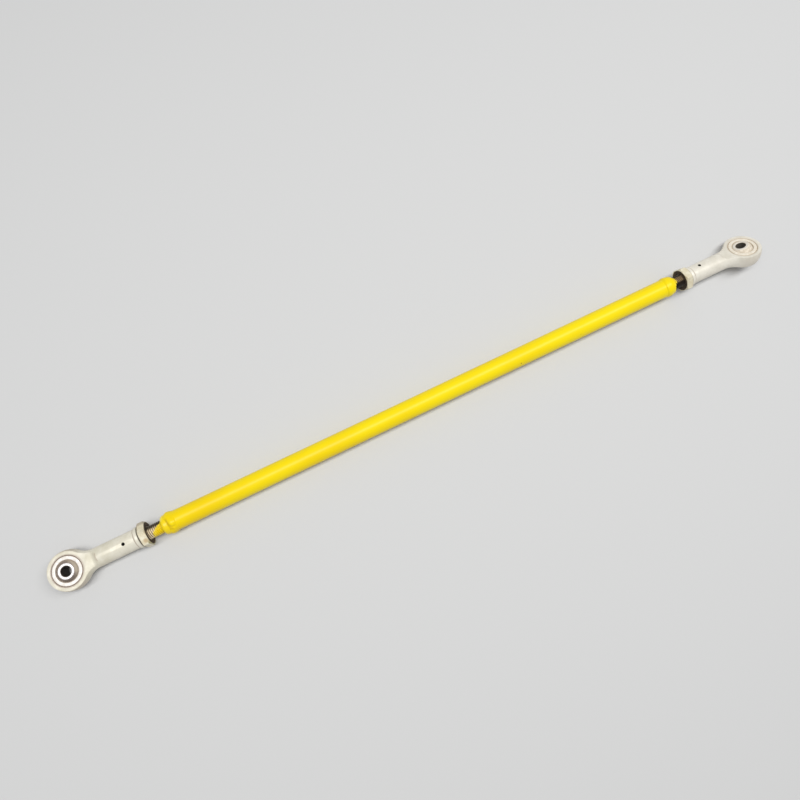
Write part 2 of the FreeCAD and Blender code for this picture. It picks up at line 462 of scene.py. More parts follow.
def enamel_colour(coords):
    """The coat's colour, with its drift and its specks."""
    drift = noise(coords, 70, 3, 0.55, (0.35, 1, 1))
    colour = mixed(rising(drift, 0.35, 0.75), ENAMEL, ENAMEL_DEEP)
    grit = node(coords, "ShaderNodeTexVoronoi", {"Vector": coords, "Scale": 260.0})
    lucky = node(coords, "ShaderNodeSeparateColor", {0: grit.outputs["Color"]}).outputs[0]
    inside = falling(grit.outputs["Distance"], 0.05, 0.11)
    speck = times(inside, rising(lucky, 0.94, 0.95))
    return mixed(speck, colour, GRIT)


def enamel_dimples(coords):
    fine = noise(coords, 900, 2)
    wide = noise(coords, 170, 2)
    return plus(times(fine, 0.35), wide)


def painted_crease_shade(coords, depth):
    """A dark line of painted shade along the crease: where it runs is a curve of the offset to the
    side.
    """
    along, aside, up = offsets(coords)
    curve = plus(times(aside, -0.10), times(times(aside, aside), 60.0))
    off = size_of(minus(along, plus(curve, CREASE_AT)))
    share = times(falling(off, 0.0001, 0.0010, depth),
                  falling(aside, 0.0012, 0.0030))
    share = times(share, rising(aside, -0.0042, -0.0032))
    return times(share, rising(up, 0.0, 0.0012))


def enamel(name, crease_shade_depth=0.0):
    """The coat. The last argument is how dark the painted shade in its crease is, from 0 for none to
    1.
    """
    finish, shader, coords = new_finish(name, Roughness=0.34, Specular_IOR_Level=0.24)
    colour = enamel_colour(coords)
    if crease_shade_depth:
        colour = mixed(painted_crease_shade(coords, crease_shade_depth), colour, PAINT_SHADE)
    feed(shader, "Base Color", colour)
    feed(shader, "Normal", bumped(enamel_dimples(coords), 0.00005))
    return finish


# The second coat has painted shade in its crease.
yellow, yellow_crease_shaded = enamel("yellow_enamel"), enamel("yellow_enamel_crease_shade", 0.6)
print("enamel has", len(yellow.node_tree.nodes), "nodes")

# %% [markdown]
# Tube
# A drawn tube, 9.5 mm outside with a wall under a millimetre. It could be a line spun round the
# axis, but a cylinder that is hollowed is quicker and shows another way: both end caps are inset
# to the wall's thickness and bridged through. Then the outer rims get the bevel that takes the
# weld.

# %% Tube piece
tube_r = (tube_high.y - tube_low.y) / 2
tube_length = tube_high.x - tube_low.x
wall, weld_bevel = 0.889, 0.7
all_off()
bpy.ops.mesh.primitive_cylinder_add(vertices=96, radius=tube_r, depth=tube_length,
                                    location=((tube_low.x + tube_high.x) / 2, 0, 0),
                                    rotation=(0, math.radians(90), 0), end_fill_type="NGON")
tube = bpy.context.object
tube.name = "painted_tube"
bpy.ops.object.transform_apply()
bpy.ops.object.mode_set(mode="EDIT")
choose(tube, "FACE", lambda f: abs(f.normal.x) > 0.9)
bpy.ops.mesh.inset(thickness=wall, use_individual=True)
choose(tube, "FACE", lambda f: abs(f.normal.x) > 0.9 and len(f.verts) > 4)
bpy.ops.mesh.bridge_edge_loops()
choose(tube, "EDGE", lambda e: e.calc_face_angle(0) > 1 and
       all(math.hypot(v.co.y, v.co.z) > tube_r - 0.1 for v in e.verts))
bpy.ops.mesh.bevel(offset=weld_bevel, segments=1)
bpy.ops.object.mode_set(mode="OBJECT")
fitted(tube, "tube", "rod", yellow)

# %% [markdown]
# Bearing finishes
# The race and the ball are ground steel gone pale with handling. Grease has dried brown between
# them, so the ball is bright only on its flat faces, and the liner's edge is dark. The staking
# groove and the race's outer edge are dark with grease and with painted shade, and the race is
# darker towards its mouth. The left ball's film is painted paler on its neck side and darker on
# the side away from the light, painted light and shade, and the balls' bores are painted near
# black, painted shade. The right bearing's colours are paler. Each of these is a colour picked by
# the distance from the bearing's axis or by the height above its middle, and broken up with noise.
# The right ball leans 15.5 degrees, so its finish first turns the coordinates upright.

# %% Race finish
RACE_COLOURS = {  # clean, stained, darker at the mouth, grease in the groove with painted shade
    "left": ((0.84, 0.81, 0.77, 1), (0.74, 0.69, 0.62, 1),
             (0.46, 0.38, 0.30, 1), (0.34, 0.26, 0.20, 1)),
    "right": ((0.88, 0.82, 0.71, 1), (0.78, 0.70, 0.56, 1),
              (0.66, 0.58, 0.46, 1), (0.58, 0.50, 0.39, 1)),
}


def race_steel(side):
    finish, shader, coords = new_finish("race_steel_" + side, side, Metallic=0.1)
    radius, parts = from_axis(coords)
    blotch = noise(coords, 700, 4, 0.6)
    height = size_of(parts[2])
    clean, stained, mouth_tone, groove_grease_and_shade = RACE_COLOURS[side]
    colour = mixed(rising(blotch, 0.35, 0.7), clean, stained)
    mouth = plus(radius, times(blotch, 0.0006))
    # Darker towards the mouth, where the race meets the ball.
    colour = mixed(falling(mouth, 0.0051, 0.0058), colour, mouth_tone)
    # Grease in the staking groove and at the race's outer edge, with painted shade.
    colour = mixed(falling(height, 0.00292, 0.00312), colour, groove_grease_and_shade)
    seat_edge = plus(radius, times(blotch, 0.0004))
    colour = mixed(rising(seat_edge, 0.0070, 0.0074, 0.0, 0.7), colour, groove_grease_and_shade)
    feed(shader, "Base Color", colour)
    feed(shader, "Roughness", rising(blotch, 0.2, 0.8, 0.28, 0.5))
    lathe_rings = node(coords, "ShaderNodeTexNoise", {"W": times(radius, 9000.0), "Scale": 1.0},
                       noise_dimensions="1D").outputs["Fac"]
    feed(shader, "Normal", bumped(lathe_rings, 0.000006))
    return finish


# %% Ball finish
BALL_COLOURS = {  # old grease film, film wiped thin, bright face, dulled face
    "left": ((0.18, 0.135, 0.115, 1), (0.36, 0.30, 0.25, 1),
             (0.80, 0.77, 0.76, 1), (0.68, 0.64, 0.60, 1)),
    "right": ((0.60, 0.52, 0.40, 1), (0.80, 0.72, 0.60, 1),
              (0.80, 0.75, 0.66, 1), (0.70, 0.63, 0.52, 1)),
}
# Painted light and shade on the left ball's film: paler on its neck side, toward the light, and
# darker on the side away from it.
FILM_PAINTED_LIGHT, FILM_PAINTED_SHADE = (0.50, 0.43, 0.33, 1), (0.10, 0.075, 0.06, 1)
# Painted shade in the ball's bore.
BORE_SHADE = (0.015, 0.012, 0.010, 1)
ball_tilt = math.radians(15.5)
heading = math.radians(40)
tilt_axis = Vector((math.sin(heading), math.cos(heading), 0))


def ball_steel(side):
    finish, shader, coords = new_finish("ball_steel_" + side, side)
    if side == "right":
        untilt = Matrix.Rotation(-ball_tilt, 3, tilt_axis).to_euler()
        coords = node(coords, "ShaderNodeMapping", {
            "Vector": coords, "Rotation": untilt}).outputs[0]
    radius, parts = from_axis(coords)
    height = size_of(parts[2])
    blotch = noise(coords, 900, 4, 0.6)
    face = rising(height, 0.00415, 0.00424)
    old, wiped, bright, dulled = BALL_COLOURS[side]
    film = mixed(rising(blotch, 0.3, 0.7), old, wiped)
    if side == "left":
        # Painted light on the neck side and painted shade on the side away from the light.
        neck_side = plus(radius, times(parts[0], 0.25))
        film = mixed(rising(neck_side, 0.0043, 0.0055), film, FILM_PAINTED_LIGHT)
        film = mixed(falling(parts[1], -0.0040, -0.0015, 0.6), film, FILM_PAINTED_SHADE)
    steel = mixed(rising(blotch, 0.4, 0.8), bright, dulled)
    colour = mixed(face, film, steel)
    # The bore's wall, painted near black: painted shade.
    bore = falling(radius, 0.00240, 0.00246)
    feed(shader, "Base Color", mixed(bore, colour, BORE_SHADE))
    feed(shader, "Roughness", rising(face, 0.0, 1.0, 0.55, 0.25))
    feed(shader, "Metallic", rising(face, 0.0, 1.0, 0.0, 0.15))
    feed(shader, "Normal", bumped(blotch, 0.000008))
    return finish


print("right ball leans", round(math.degrees(ball_tilt), 1), "degrees")


# %% Liner finish
LINER_COLOURS = {
    "left": ((0.22, 0.17, 0.13, 1), (0.42, 0.34, 0.27, 1)),
    "right": ((0.45, 0.38, 0.29, 1), (0.66, 0.58, 0.46, 1)),
}


def liner_resin(side):
    finish, shader, coords = new_finish("liner_resin_" + side, side, Roughness=0.7)
    weave = noise(coords, 2600, 3, 0.6)
    colour = mixed(rising(weave, 0.35, 0.65), *LINER_COLOURS[side])
    feed(shader, "Base Color", colour)
    feed(shader, "Normal", bumped(weave, 0.00003))
    return finish


# %% [markdown]
# Bearing
# The ball is a sphere cut flat on two sides and bored for the bolt. The race is a ring whose bore
# follows the ball, with a V groove rolled round each face: rolling it pushed the outer lip over the
# edge of the head and locked the race in. Between them is a thin bonded liner. All three are spun.

# %% Ball
ball_r, ball_face, bolt_r, lead_in = 5.556, 4.28, 2.413, 0.25
edge_r = math.sqrt(ball_r ** 2 - ball_face ** 2)
lean = math.degrees(math.acos(ball_face / ball_r))
ball_line = [(ball_face, bolt_r + lead_in), (ball_face, edge_r)]
ball_line += arc((0, 0), ball_r, lean, 180 - lean, 40)[1:]
ball_line += [(-ball_face, bolt_r + lead_in), (-ball_face + lead_in, bolt_r),
              (ball_face - lead_in, bolt_r)]
ball_line += ball_line[:1]
ball = turned("ball_left", ball_line, Z, 96, [
    (ball_face, edge_r, 0.09), (-ball_face, edge_r, 0.09),
    (ball_face, bolt_r + lead_in, 0.06), (-ball_face, bolt_r + lead_in, 0.06)])
ball_twin = copied(ball, "ball_right")
moved(ball_twin, to_right_head @ Matrix.Rotation(ball_tilt, 4, tilt_axis))
fitted(ball, "left_bearing_ball", "left_ball", ball_steel("left"))
fitted(ball_twin, "right_bearing_ball", "right_ball", ball_steel("right"))

# %% Race
# The staking groove is the dip in the race's face between 7.2 and 6.7 mm from its axis.
race_face = span("left_bearing_race")[1].z
seat_r, lip_r, mouth_r = 7.145, 7.45, 5.2
liner_thick, ball_gap = 0.3, 0.02
inner_r = ball_r + ball_gap + liner_thick
mouth_angle = math.degrees(math.asin(mouth_r / inner_r))
half = [(race_face - 0.5, seat_r), (race_face, lip_r), (race_face, 7.2), (race_face - 0.3, 7.06),
        (race_face - 0.45, 6.95), (race_face - 0.3, 6.84), (race_face, 6.7), (race_face, mouth_r)]
race_line = half + arc((0, 0), inner_r, mouth_angle, 180 - mouth_angle, 28)
race_line += [(-z, r) for z, r in reversed(half)] + half[:1]
race = turned("race_left", race_line, Z, 128, [
    (race_face, lip_r, 0.06), (race_face, 7.2, 0.06),
    (race_face, 6.7, 0.08), (race_face, mouth_r, 0.12)])
race_twin = moved(copied(race, "race_right"), to_right_head)
fitted(race, "left_bearing_race", "left_end", race_steel("left"))
fitted(race_twin, "right_bearing_race", "right_end", race_steel("right"))

# %% Liner
liner_z = span("left_bearing_liner")[1].z
outer_angle = math.degrees(math.acos(liner_z / inner_r))
inner_angle = math.degrees(math.acos(liner_z / (inner_r - liner_thick)))
liner_line = arc((0, 0), inner_r - 0.004, outer_angle, 180 - outer_angle, 26)
liner_line += arc((0, 0), inner_r - liner_thick, 180 - inner_angle, inner_angle, 26)
liner_line += liner_line[:1]
liner = turned("liner_left", liner_line, Z, 96)
liner_twin = moved(copied(liner, "liner_right"), to_right_head)
fitted(liner, "left_bearing_liner", "left_end", liner_resin("left"))
fitted(liner_twin, "right_bearing_liner", "right_end", liner_resin("right"))

# %% [markdown]
# Rod end finish
# The forging is plated a warm pale grey with a satin sheen. Handling has left it a little mottled.
# Brown stains lie in the ring round the race and at the step where the flats end. The rim and the
# side of the head are browner, a stain with painted shade over it, and the foot of the raised band
# at the shank's mouth has a dark line of painted shade. The joint with the nut and the walls of
# both holes are painted near black, painted shade. The stains and the shade at the rim and the
# joint are fainter on the right. Each mark has its own place along the rod or its own distance
# from an axis, so each is one soft step in one of those.

# %% Plated forging
FORGING_COLOURS = {  # clean, stained, and how heavy the brown stains and the painted shade at the rim and joint are
    "left": ((0.80, 0.76, 0.64, 1), (0.66, 0.62, 0.49, 1), 1.0),
    "right": ((0.84, 0.80, 0.70, 1), (0.70, 0.66, 0.56, 1), 0.4),
}
SPECK, BROWN = (0.46, 0.41, 0.33, 1), (0.42, 0.33, 0.25, 1)
# Painted shade: the joint with the nut and the walls of both holes.
JOINT_SHADE, HOLE_SHADE = (0.06, 0.042, 0.026, 1), (0.015, 0.011, 0.008, 1)
FLATS_END, BAND_START, NUT_JOINT = 0.0142, 0.0326, 0.0342


def near(value, place, inside, outside, share):
    """share at a place, fading to 0 from inside to outside metres away from it."""
    return falling(size_of(minus(value, place)), inside, outside, share)


def inside_holes(parts):
    """Where the walls of the witness hole are, and those of the tapped bore: they get painted shade.
    """
    along, aside, up = parts
    from_hole = reach_of(minus(along, 0.0275), aside)
    in_hole = times(falling(from_hole, 0.00088, 0.00096),
                    falling(up, 0.00455, 0.00466))
    in_bore = times(falling(reach_of(aside, up), 0.0033, 0.0035),
                    rising(along, 0.0172, 0.0176))
    return in_hole, in_bore


def forging(side):
    finish, shader, coords = new_finish("plated_forging_" + side, side, Metallic=0.12)
    radius, parts = from_axis(coords)
    along, height, aside = parts[0], size_of(parts[2]), size_of(parts[1])
    cloud = noise(coords, 170, 4, 0.6)
    grain = noise(coords, 1500, 3, 0.6)
    clean, stained, heavy = FORGING_COLOURS[side]
    colour = mixed(rising(cloud, 0.3, 0.75), clean, stained)
    colour = mixed(rising(grain, 0.60, 0.80, 0.0, 0.4), colour, SPECK)
    ragged = jittered(radius, cloud, 0.0008)
    on_face = rising(height, 0.0026, 0.0030)
    ring = times(falling(ragged, 0.0074, 0.0081, 0.45 * heavy), on_face)
    colour = mixed(ring, colour, BROWN)
    # Browner along the rim and side of the head: a stain, and painted shade.
    rim_stain_and_shade = rising(ragged, 0.0086, 0.0093, 0.0, 0.5 * heavy)
    in_head = falling(along, 0.0040, 0.0080)
    colour = mixed(times(rim_stain_and_shade, in_head), colour, BROWN)
    step = near(along, FLATS_END, 0.0001, 0.0004, 0.55 * heavy)
    step = times(step, falling(aside, 0.0016, 0.0024))
    colour = mixed(step, colour, BROWN)
    # A dark line at the foot of the raised band: painted shade.
    colour = mixed(near(along, BAND_START, 0.0001, 0.0004, 0.7), colour, BROWN)
    # The joint with the nut, painted near black: painted shade.
    joint_shade = rising(along, NUT_JOINT, NUT_JOINT + 0.0004, 0.0, 0.4 + 0.55 * heavy)
    colour = mixed(joint_shade, colour, JOINT_SHADE)
    # The walls of both holes, painted near black: painted shade.
    for hidden in inside_holes(parts):
        colour = mixed(hidden, colour, HOLE_SHADE)
    feed(shader, "Base Color", colour)
    feed(shader, "Roughness", rising(cloud, 0.2, 0.8, 0.38, 0.52))
    skin = plus(times(grain, 0.4), noise(coords, 420, 2))
    feed(shader, "Normal", bumped(skin, 0.00003))
    return finish


# %% [markdown]
# Rod end
# The real one is turned first: head, neck, shank and the raised band at its mouth are one outline
# spun round the rod's axis. Then the head is milled flat on both sides with a round-nosed cutter,
# bored for the race, drilled for the witness hole and tapped. The same order works here, with one
# Boolean cut for each tool, and a narrow bevel breaks the sharp edges at the end.

# %% Turned blank
head_r, shank_r, band_r, neck = 9.525, 4.7, 5.15, 9.5
band_start, band_full, edge_break = shank_end - 2.5, shank_end - 1.9, 0.7
band_edge = shank_end - edge_break
blend_y = shank_r + neck
blend_x = math.sqrt((head_r + neck) ** 2 - blend_y ** 2)
meet = math.degrees(math.atan2(blend_y, blend_x))
blank_line = arc((0, 0), head_r, 180, meet, 72)
blank_line[0] = (-head_r, 0)
blank_line += arc((blend_x, blend_y), neck, 180 + meet, 270, 18)[1:]
blank_line += [(band_start, shank_r), (band_full, band_r), (band_edge, band_r),
               (shank_end, band_r - edge_break), (shank_end, 0)]
rod_end = turned("rod_end_left", blank_line, X, 128, [
    (band_start, shank_r, 0.3), (band_full, band_r, 0.25), (band_edge, band_r, 0.2)])
print("blank:", len(rod_end.data.vertices), "vertices, open edges", open_edges(rod_end))

# %% Mill the flats
half_head, nose_r = 3.175, 3.0
cutter_length, cutter_width, cutter_height, cutter_end = 34.5, 30, 10, 14.5
for up in (1, -1):
    all_off()
    bpy.ops.mesh.primitive_cube_add(
        size=1, location=(cutter_end - cutter_length / 2, 0, up * (half_head + cutter_height / 2)),
        scale=(cutter_length, cutter_width, cutter_height))
    cutter = bpy.context.object
    bpy.ops.object.transform_apply()
    bpy.ops.object.mode_set(mode="EDIT")
    choose(cutter, "EDGE", lambda e: all(
        v.co.x > cutter_end - 0.5 and abs(v.co.z) < half_head + 0.5 for v in e.verts))
    bpy.ops.mesh.bevel(offset=nose_r, segments=16, profile=0.5)
    bpy.ops.object.mode_set(mode="OBJECT")
    carve(rod_end, cutter)
print("milled:", len(rod_end.data.vertices), "vertices, open edges", open_edges(rod_end))

# %% Bore, drill and tap
lip_depth, past = 0.5, 0.5
seat = turned("seat_cutter", [
    (-half_head - past, 0), (-half_head - past, lip_r), (-half_head, lip_r),
    (-half_head + lip_depth, seat_r), (half_head - lip_depth, seat_r), (half_head, lip_r),
    (half_head + past, lip_r), (half_head + past, 0)], Z, 128)
carve(rod_end, seat)
all_off()
bpy.ops.mesh.primitive_cylinder_add(vertices=32, radius=0.8, depth=6, location=(27.4, 0, 4.6))
carve(rod_end, bpy.context.object)
tap_r, tap_depth, drill_point, flare, over = 3.205, 15.4, 1.6, 0.5, 0.15
tap_bottom = shank_end - tap_depth
tap = turned("tap_drill", [
    (tap_bottom - drill_point, 0), (tap_bottom, tap_r), (shank_end - (flare - over), tap_r),
    (shank_end + over, tap_r + flare), (shank_end + over, 0)], X, 64)
carve(rod_end, tap)
print("cut:", len(rod_end.data.vertices), "vertices, open edges", open_edges(rod_end))

# %% Break the edges
# A Boolean cut gives its points in any order, and merging the close ones depends on that order. So
# the points are sorted first, by their distance from a far corner, and every run merges the same.
FAR_CORNER = (-31.7, 17.3, 11.9)
only(rod_end)
bpy.context.scene.cursor.location = FAR_CORNER
bpy.ops.object.mode_set(mode="EDIT")
bpy.ops.mesh.select_all(action="SELECT")
bpy.ops.mesh.sort_elements(type="CURSOR_DISTANCE", elements={"VERT", "EDGE", "FACE"})
bpy.ops.mesh.remove_doubles(threshold=0.03)
bpy.ops.object.mode_set(mode="OBJECT")
softened(rod_end, 42, 0.14)
rod_end_twin = moved(copied(rod_end, "rod_end_right"), to_right_head)
fitted(rod_end, "left_rod_end", "left_end", forging("left"))
fitted(rod_end_twin, "right_rod_end", "right_end", forging("right"))

# %% [markdown]
# Check nut
# A thin hexagonal nut holds the rod end where it was set. It is sawn from hexagon bar and both
# sides are turned to a 30 degree cone, which leaves the round face and the curved corners. So it is
# a six-sided cylinder that keeps only what it shares with a turned disc. Its plating is straw
# coloured and spotted, with black grease round the thread. The left nut is also rubbed brown at one
# corner and stained on its cone, and its far flats and its side against the rod end are painted
# darker: painted shade.

# %% Nut finish
STRAW, STRAW_WORN, NUT_SPOT = (0.80, 0.75, 0.58, 1), (0.66, 0.58, 0.40, 1), (0.36, 0.25, 0.13, 1)
GREASE, GREASE_DRY = (0.022, 0.014, 0.008, 1), (0.08, 0.05, 0.028, 1)
RUBBED, RUBBED_AT = (0.52, 0.37, 0.19, 1), (0.0373, -0.0029, 0.0044)
# On the next line, the second colour, for the far flats, is painted shade, and so is the colour for
# the side against the rod end.
CONE_STAIN, FAR_FLAT_SHADE = (0.34, 0.30, 0.13, 1), (0.34, 0.29, 0.22, 1)
ROD_END_SIDE_SHADE = (0.07, 0.05, 0.03, 1)


def nut_finish(side):
    finish, shader, coords = new_finish("nut_plating_" + side, side, False, Metallic=0.1)
    along, aside, up = offsets(coords)
    cloud = noise(coords, 380, 4, 0.65)
    colour = mixed(rising(cloud, 0.35, 0.7), STRAW, STRAW_WORN)
    spots = noise(coords, 1300, 3, 0.7)
    colour = mixed(rising(spots, 0.64, 0.74, 0.0, 0.5), colour, NUT_SPOT)
    if side == "left":
        rubbed = node(coords, "ShaderNodeVectorMath", {0: coords, 1: RUBBED_AT},
                      operation="DISTANCE").outputs["Value"]
        rubbed = plus(rubbed, times(cloud, 0.0006))
        colour = mixed(falling(rubbed, 0.0010, 0.0019, 0.75), colour, RUBBED)
    reach = jittered(reach_of(aside, up), cloud, 0.0008)
    greasy = times(rising(along, 0.03815, 0.0384),
                   falling(reach, 0.0052, 0.0056))
    grease = mixed(rising(cloud, 0.3, 0.7), GREASE, GREASE_DRY)
    if side == "left":
        cone = times(rising(along, 0.0376, 0.0380),
                     falling(aside, -0.0044, -0.0030))
        colour = mixed(times(cone, 0.8), colour, CONE_STAIN)
        # Painted shade on the far flats.
        colour = mixed(rising(aside, 0.0042, 0.0054, 0.0, 0.7), colour, FAR_FLAT_SHADE)
        # The side against the rod end, painted darker: painted shade.
        colour = mixed(falling(along, 0.0350, 0.0355, 0.9), colour, ROD_END_SIDE_SHADE)
    colour = mixed(greasy, colour, grease)
    feed(shader, "Base Color", colour)
    rough = rising(cloud, 0.2, 0.8, 0.30, 0.46)
    feed(shader, "Roughness", plus(rough, times(greasy, 0.35)))
    feed(shader, "Normal", bumped(spots, 0.00003))
    return finish


# %% Nut pieces
across_flats, face_r = 11.11, 5.5
corner_r = across_flats / 2 / math.cos(math.radians(30))
cone_depth = (corner_r - face_r) * math.tan(math.radians(30))
disc_depth, disc_r = cone_depth * 1.5, face_r + (corner_r - face_r) * 1.5
bore_start, bore_end, flare_depth, flare_r = nut_low.x - 0.1, nut_high.x + 0.1, 0.4, tap_r + 0.5


def check_nut(name, turn_degrees):
    all_off()
    bpy.ops.mesh.primitive_cylinder_add(vertices=6, radius=corner_r, depth=nut_high.x - nut_low.x,
                                        location=((nut_low.x + nut_high.x) / 2, 0, 0),
                                        rotation=(0, math.radians(90), 0))
    nut = bpy.context.object
    nut.name = name
    bpy.ops.object.transform_apply()
    disc = turned("chamfered_disc", [
        (nut_low.x, 0), (nut_low.x, face_r), (nut_low.x + disc_depth, disc_r),
        (nut_high.x - disc_depth, disc_r), (nut_high.x, face_r), (nut_high.x, 0)], X, 96)
    carve(nut, disc, "INTERSECT")
    hole = turned("nut_bore", [
        (bore_start, 0), (bore_start, flare_r), (nut_low.x + flare_depth, tap_r),
        (nut_high.x - flare_depth, tap_r), (bore_end, flare_r), (bore_end, 0)], X, 64)
    carve(nut, hole)
    softened(nut, 25, 0.08)
    return moved(nut, Matrix.Rotation(math.radians(turn_degrees), 4, "X"))


nut_left = check_nut("check_nut_left", 18)
nut_right = moved(check_nut("check_nut_right", 19), to_right)
fitted(nut_left, "left_check_nut", "left_nut", nut_finish("left"))
fitted(nut_right, "right_check_nut", "right_nut", nut_finish("right"))

# %% [markdown]
# Paint on the thread
# The rod was sprayed with its ends masked by hand, so the enamel runs over the shoulder and stops
# raggedly among the threads. On the left it reaches further on the near side, over pale tan metal.
# On the right the bare thread is nearly black with old grease. Each bare thread keeps its own
# colour only in a strip along its middle and is painted darker towards both sides, in its roots
# and inside the rod end: painted shade. A mask measures how far along the stud a point lies,
# shifts the edge with the side of the stud and with noise, and mixes the two. The coat is thin
# and pale at its edge, and painted darker in the roots and in the corner by the shoulder: painted
# shade.

# %% Plug finish
shoulder_x, seam_x = plug_high.x - 15.3, plug_high.x - 12
PAINT_EDGE = {  # metres from the eye, and how that shifts with the offset to a side and its size
    "left": (0.0418, 1.15, 0.47), "right": (0.0419, 0.54, 0.81)}
BARE_THREAD = {  # where the strip of the thread's own colour lies, how far it reaches, that colour, and the painted shade on both sides of it, with grease on the right
    "left": (-0.0011, 0.0025, (0.95, 0.78, 0.52, 1), (0.07, 0.05, 0.025, 1)),
    "right": (-0.0007, 0.0014, (0.32, 0.22, 0.12, 1), (0.022, 0.013, 0.007, 1))}
# Painted shade: in the roots of the bare thread, and on the thread inside the rod end.
ROOT_SHADE, ROD_END_INSIDE_SHADE = (0.05, 0.035, 0.02, 1), (0.012, 0.009, 0.006, 1)


def painted_plug(side):
    """Bare thread that turns into enamel, with a ragged edge between them."""
    finish, shader, coords = new_finish("painted_plug_" + side, side, False)
    along, aside, up = offsets(coords)
    edge_at, per_offset, per_size = PAINT_EDGE[side]
    ragged = noise(coords, 900, 3, 0.6)
    wide = size_of(aside)
    edge = plus(times(aside, per_offset), times(wide, per_size))
    edge = jittered(edge, ragged, 0.0030)
    past = minus(along, plus(edge, edge_at))
    past = larger(past, minus(along, (shoulder_x + 0.1) / 1000))
    coat = rising(past, -0.00018, 0.00022)
    # The bare thread keeps its colour in a strip along its middle and is darker towards both sides:
    # painted shade, with grease on the right.
    strip_noise = noise(coords, 1500, 4, 0.6)
    strip_at, strip_reach, pale, sides_shade_and_grease = BARE_THREAD[side]
    off = size_of(minus(aside, strip_at))
    off = jittered(off, strip_noise, 0.0016)
    bare = mixed(rising(off, strip_reach * 0.7, strip_reach * 1.2), pale, sides_shade_and_grease)
    radius = reach_of(aside, up)
    root = falling(radius, 0.00268, 0.00308)
    # Painted shade in the roots and on the thread inside the rod end.
    bare = mixed(times(root, 0.7), bare, ROOT_SHADE)
    bare = mixed(falling(along, 0.0340, 0.0352), bare, ROD_END_INSIDE_SHADE)
    thin = falling(past, 0.0, 0.0022, 0.6)
    painted = mixed(thin, enamel_colour(coords), PAINT_THIN)
    # Painted shade in the coat's roots and in the corner by the shoulder.
    painted = mixed(times(root, 0.4), painted, PAINT_SHADE)
    corner = times(rising(along, (shoulder_x - 0.8) / 1000,
                                (shoulder_x - 0.2) / 1000, 0.0, 0.8),
                  falling(radius, 0.0033, 0.0038))
    painted = mixed(corner, painted, PAINT_SHADE)
    feed(shader, "Base Color", mixed(coat, bare, painted))
    feed(shader, "Metallic", falling(coat, 0.0, 1.0, 0.25))
    feed(shader, "Roughness", rising(coat, 0.0, 1.0, 0.45, 0.36))
    skin = plus(times(coat, 1.2), enamel_dimples(coords))
    feed(shader, "Normal", bumped(skin, 0.00005))
    return finish


print("shoulder starts at", round(shoulder_x, 2), "mm, weld seam at", round(seam_x, 2), "mm")

# %% [markdown]
# Threaded plug
# A 1/4-28 stud with a shoulder as wide as the tube and a spigot that sits inside it. A thread could
# be faked with a bump, but in a close view its outline gives it away. So one pitch of the thread
# is drawn, and the Screw modifier winds it round the axis, 25 turns of it. Bisect trims both ends
# and fills them, and the spun shoulder is joined on.

# %% Wind the thread
pitch, crest_r, root_r = 25.4 / 28, 3.175, 2.65
root_end, crest_start, crest_end = 0.188, 0.491, 0.604
first = plug_low.x - pitch
stud = drawn("plug_left", [
    (first, root_r), (first + root_end, root_r), (first + crest_start, crest_r),
    (first + crest_end, crest_r), (first + pitch, root_r)], X)
for along, radius, reach in (
        (root_end, root_r, 0.05), (crest_start, crest_r, 0.035), (crest_end, crest_r, 0.035)):
    corner = Vector((first + along, 0, radius))
    choose(stud, "VERT", lambda v: (v.co - corner).length < SAME_PLACE)
    bpy.ops.mesh.bevel(offset=reach, segments=2, affect="VERTICES")
bpy.ops.object.mode_set(mode="OBJECT")
bpy.ops.object.modifier_add(type="SCREW")
winding = stud.modifiers[-1]
winding.axis, winding.angle, winding.screw_offset, winding.iterations = "X", math.tau, pitch, 25
winding.steps = winding.render_steps = 48
bpy.ops.object.modifier_apply(modifier=winding.name)
print("wound:", len(stud.data.polygons), "faces, pitch", round(pitch, 3), "mm")

# %% Trim the thread
bpy.ops.object.mode_set(mode="EDIT")
bpy.ops.mesh.select_mode(type="VERT")
bpy.ops.mesh.select_all(action="SELECT")
bpy.ops.mesh.remove_doubles(threshold=0.001)
for cut_x, tip in ((plug_low.x, True), (shoulder_x + 0.4, False)):
    bpy.ops.mesh.select_all(action="SELECT")
    bpy.ops.mesh.bisect(plane_co=(cut_x, 0, 0), plane_no=(1, 0, 0), use_fill=True,
                        clear_inner=tip, clear_outer=not tip)
bpy.ops.mesh.select_all(action="SELECT")
bpy.ops.mesh.normals_make_consistent(inside=False)
bpy.ops.object.mode_set(mode="OBJECT")
print("trimmed:", len(stud.data.polygons), "faces, open edges", open_edges(stud))

# %% Run the thread out
run_length, run_lift, tip_drop = 1.6, 0.36, 0.12
for vertex in stud.data.vertices:
    radius = math.hypot(vertex.co.y, vertex.co.z)
    if radius < 0.01:
        continue
    run_out = min(1, max(0, (vertex.co.x - shoulder_x + run_length) / run_length))
    wanted = max(radius, root_r + run_lift * run_out ** 1.5)
    wanted = min(wanted, root_r - tip_drop + max(0, vertex.co.x - plug_low.x))
    vertex.co.y *= wanted / radius
    vertex.co.z *= wanted / radius
print("thread:", len(stud.data.polygons), "faces, open edges", open_edges(stud))

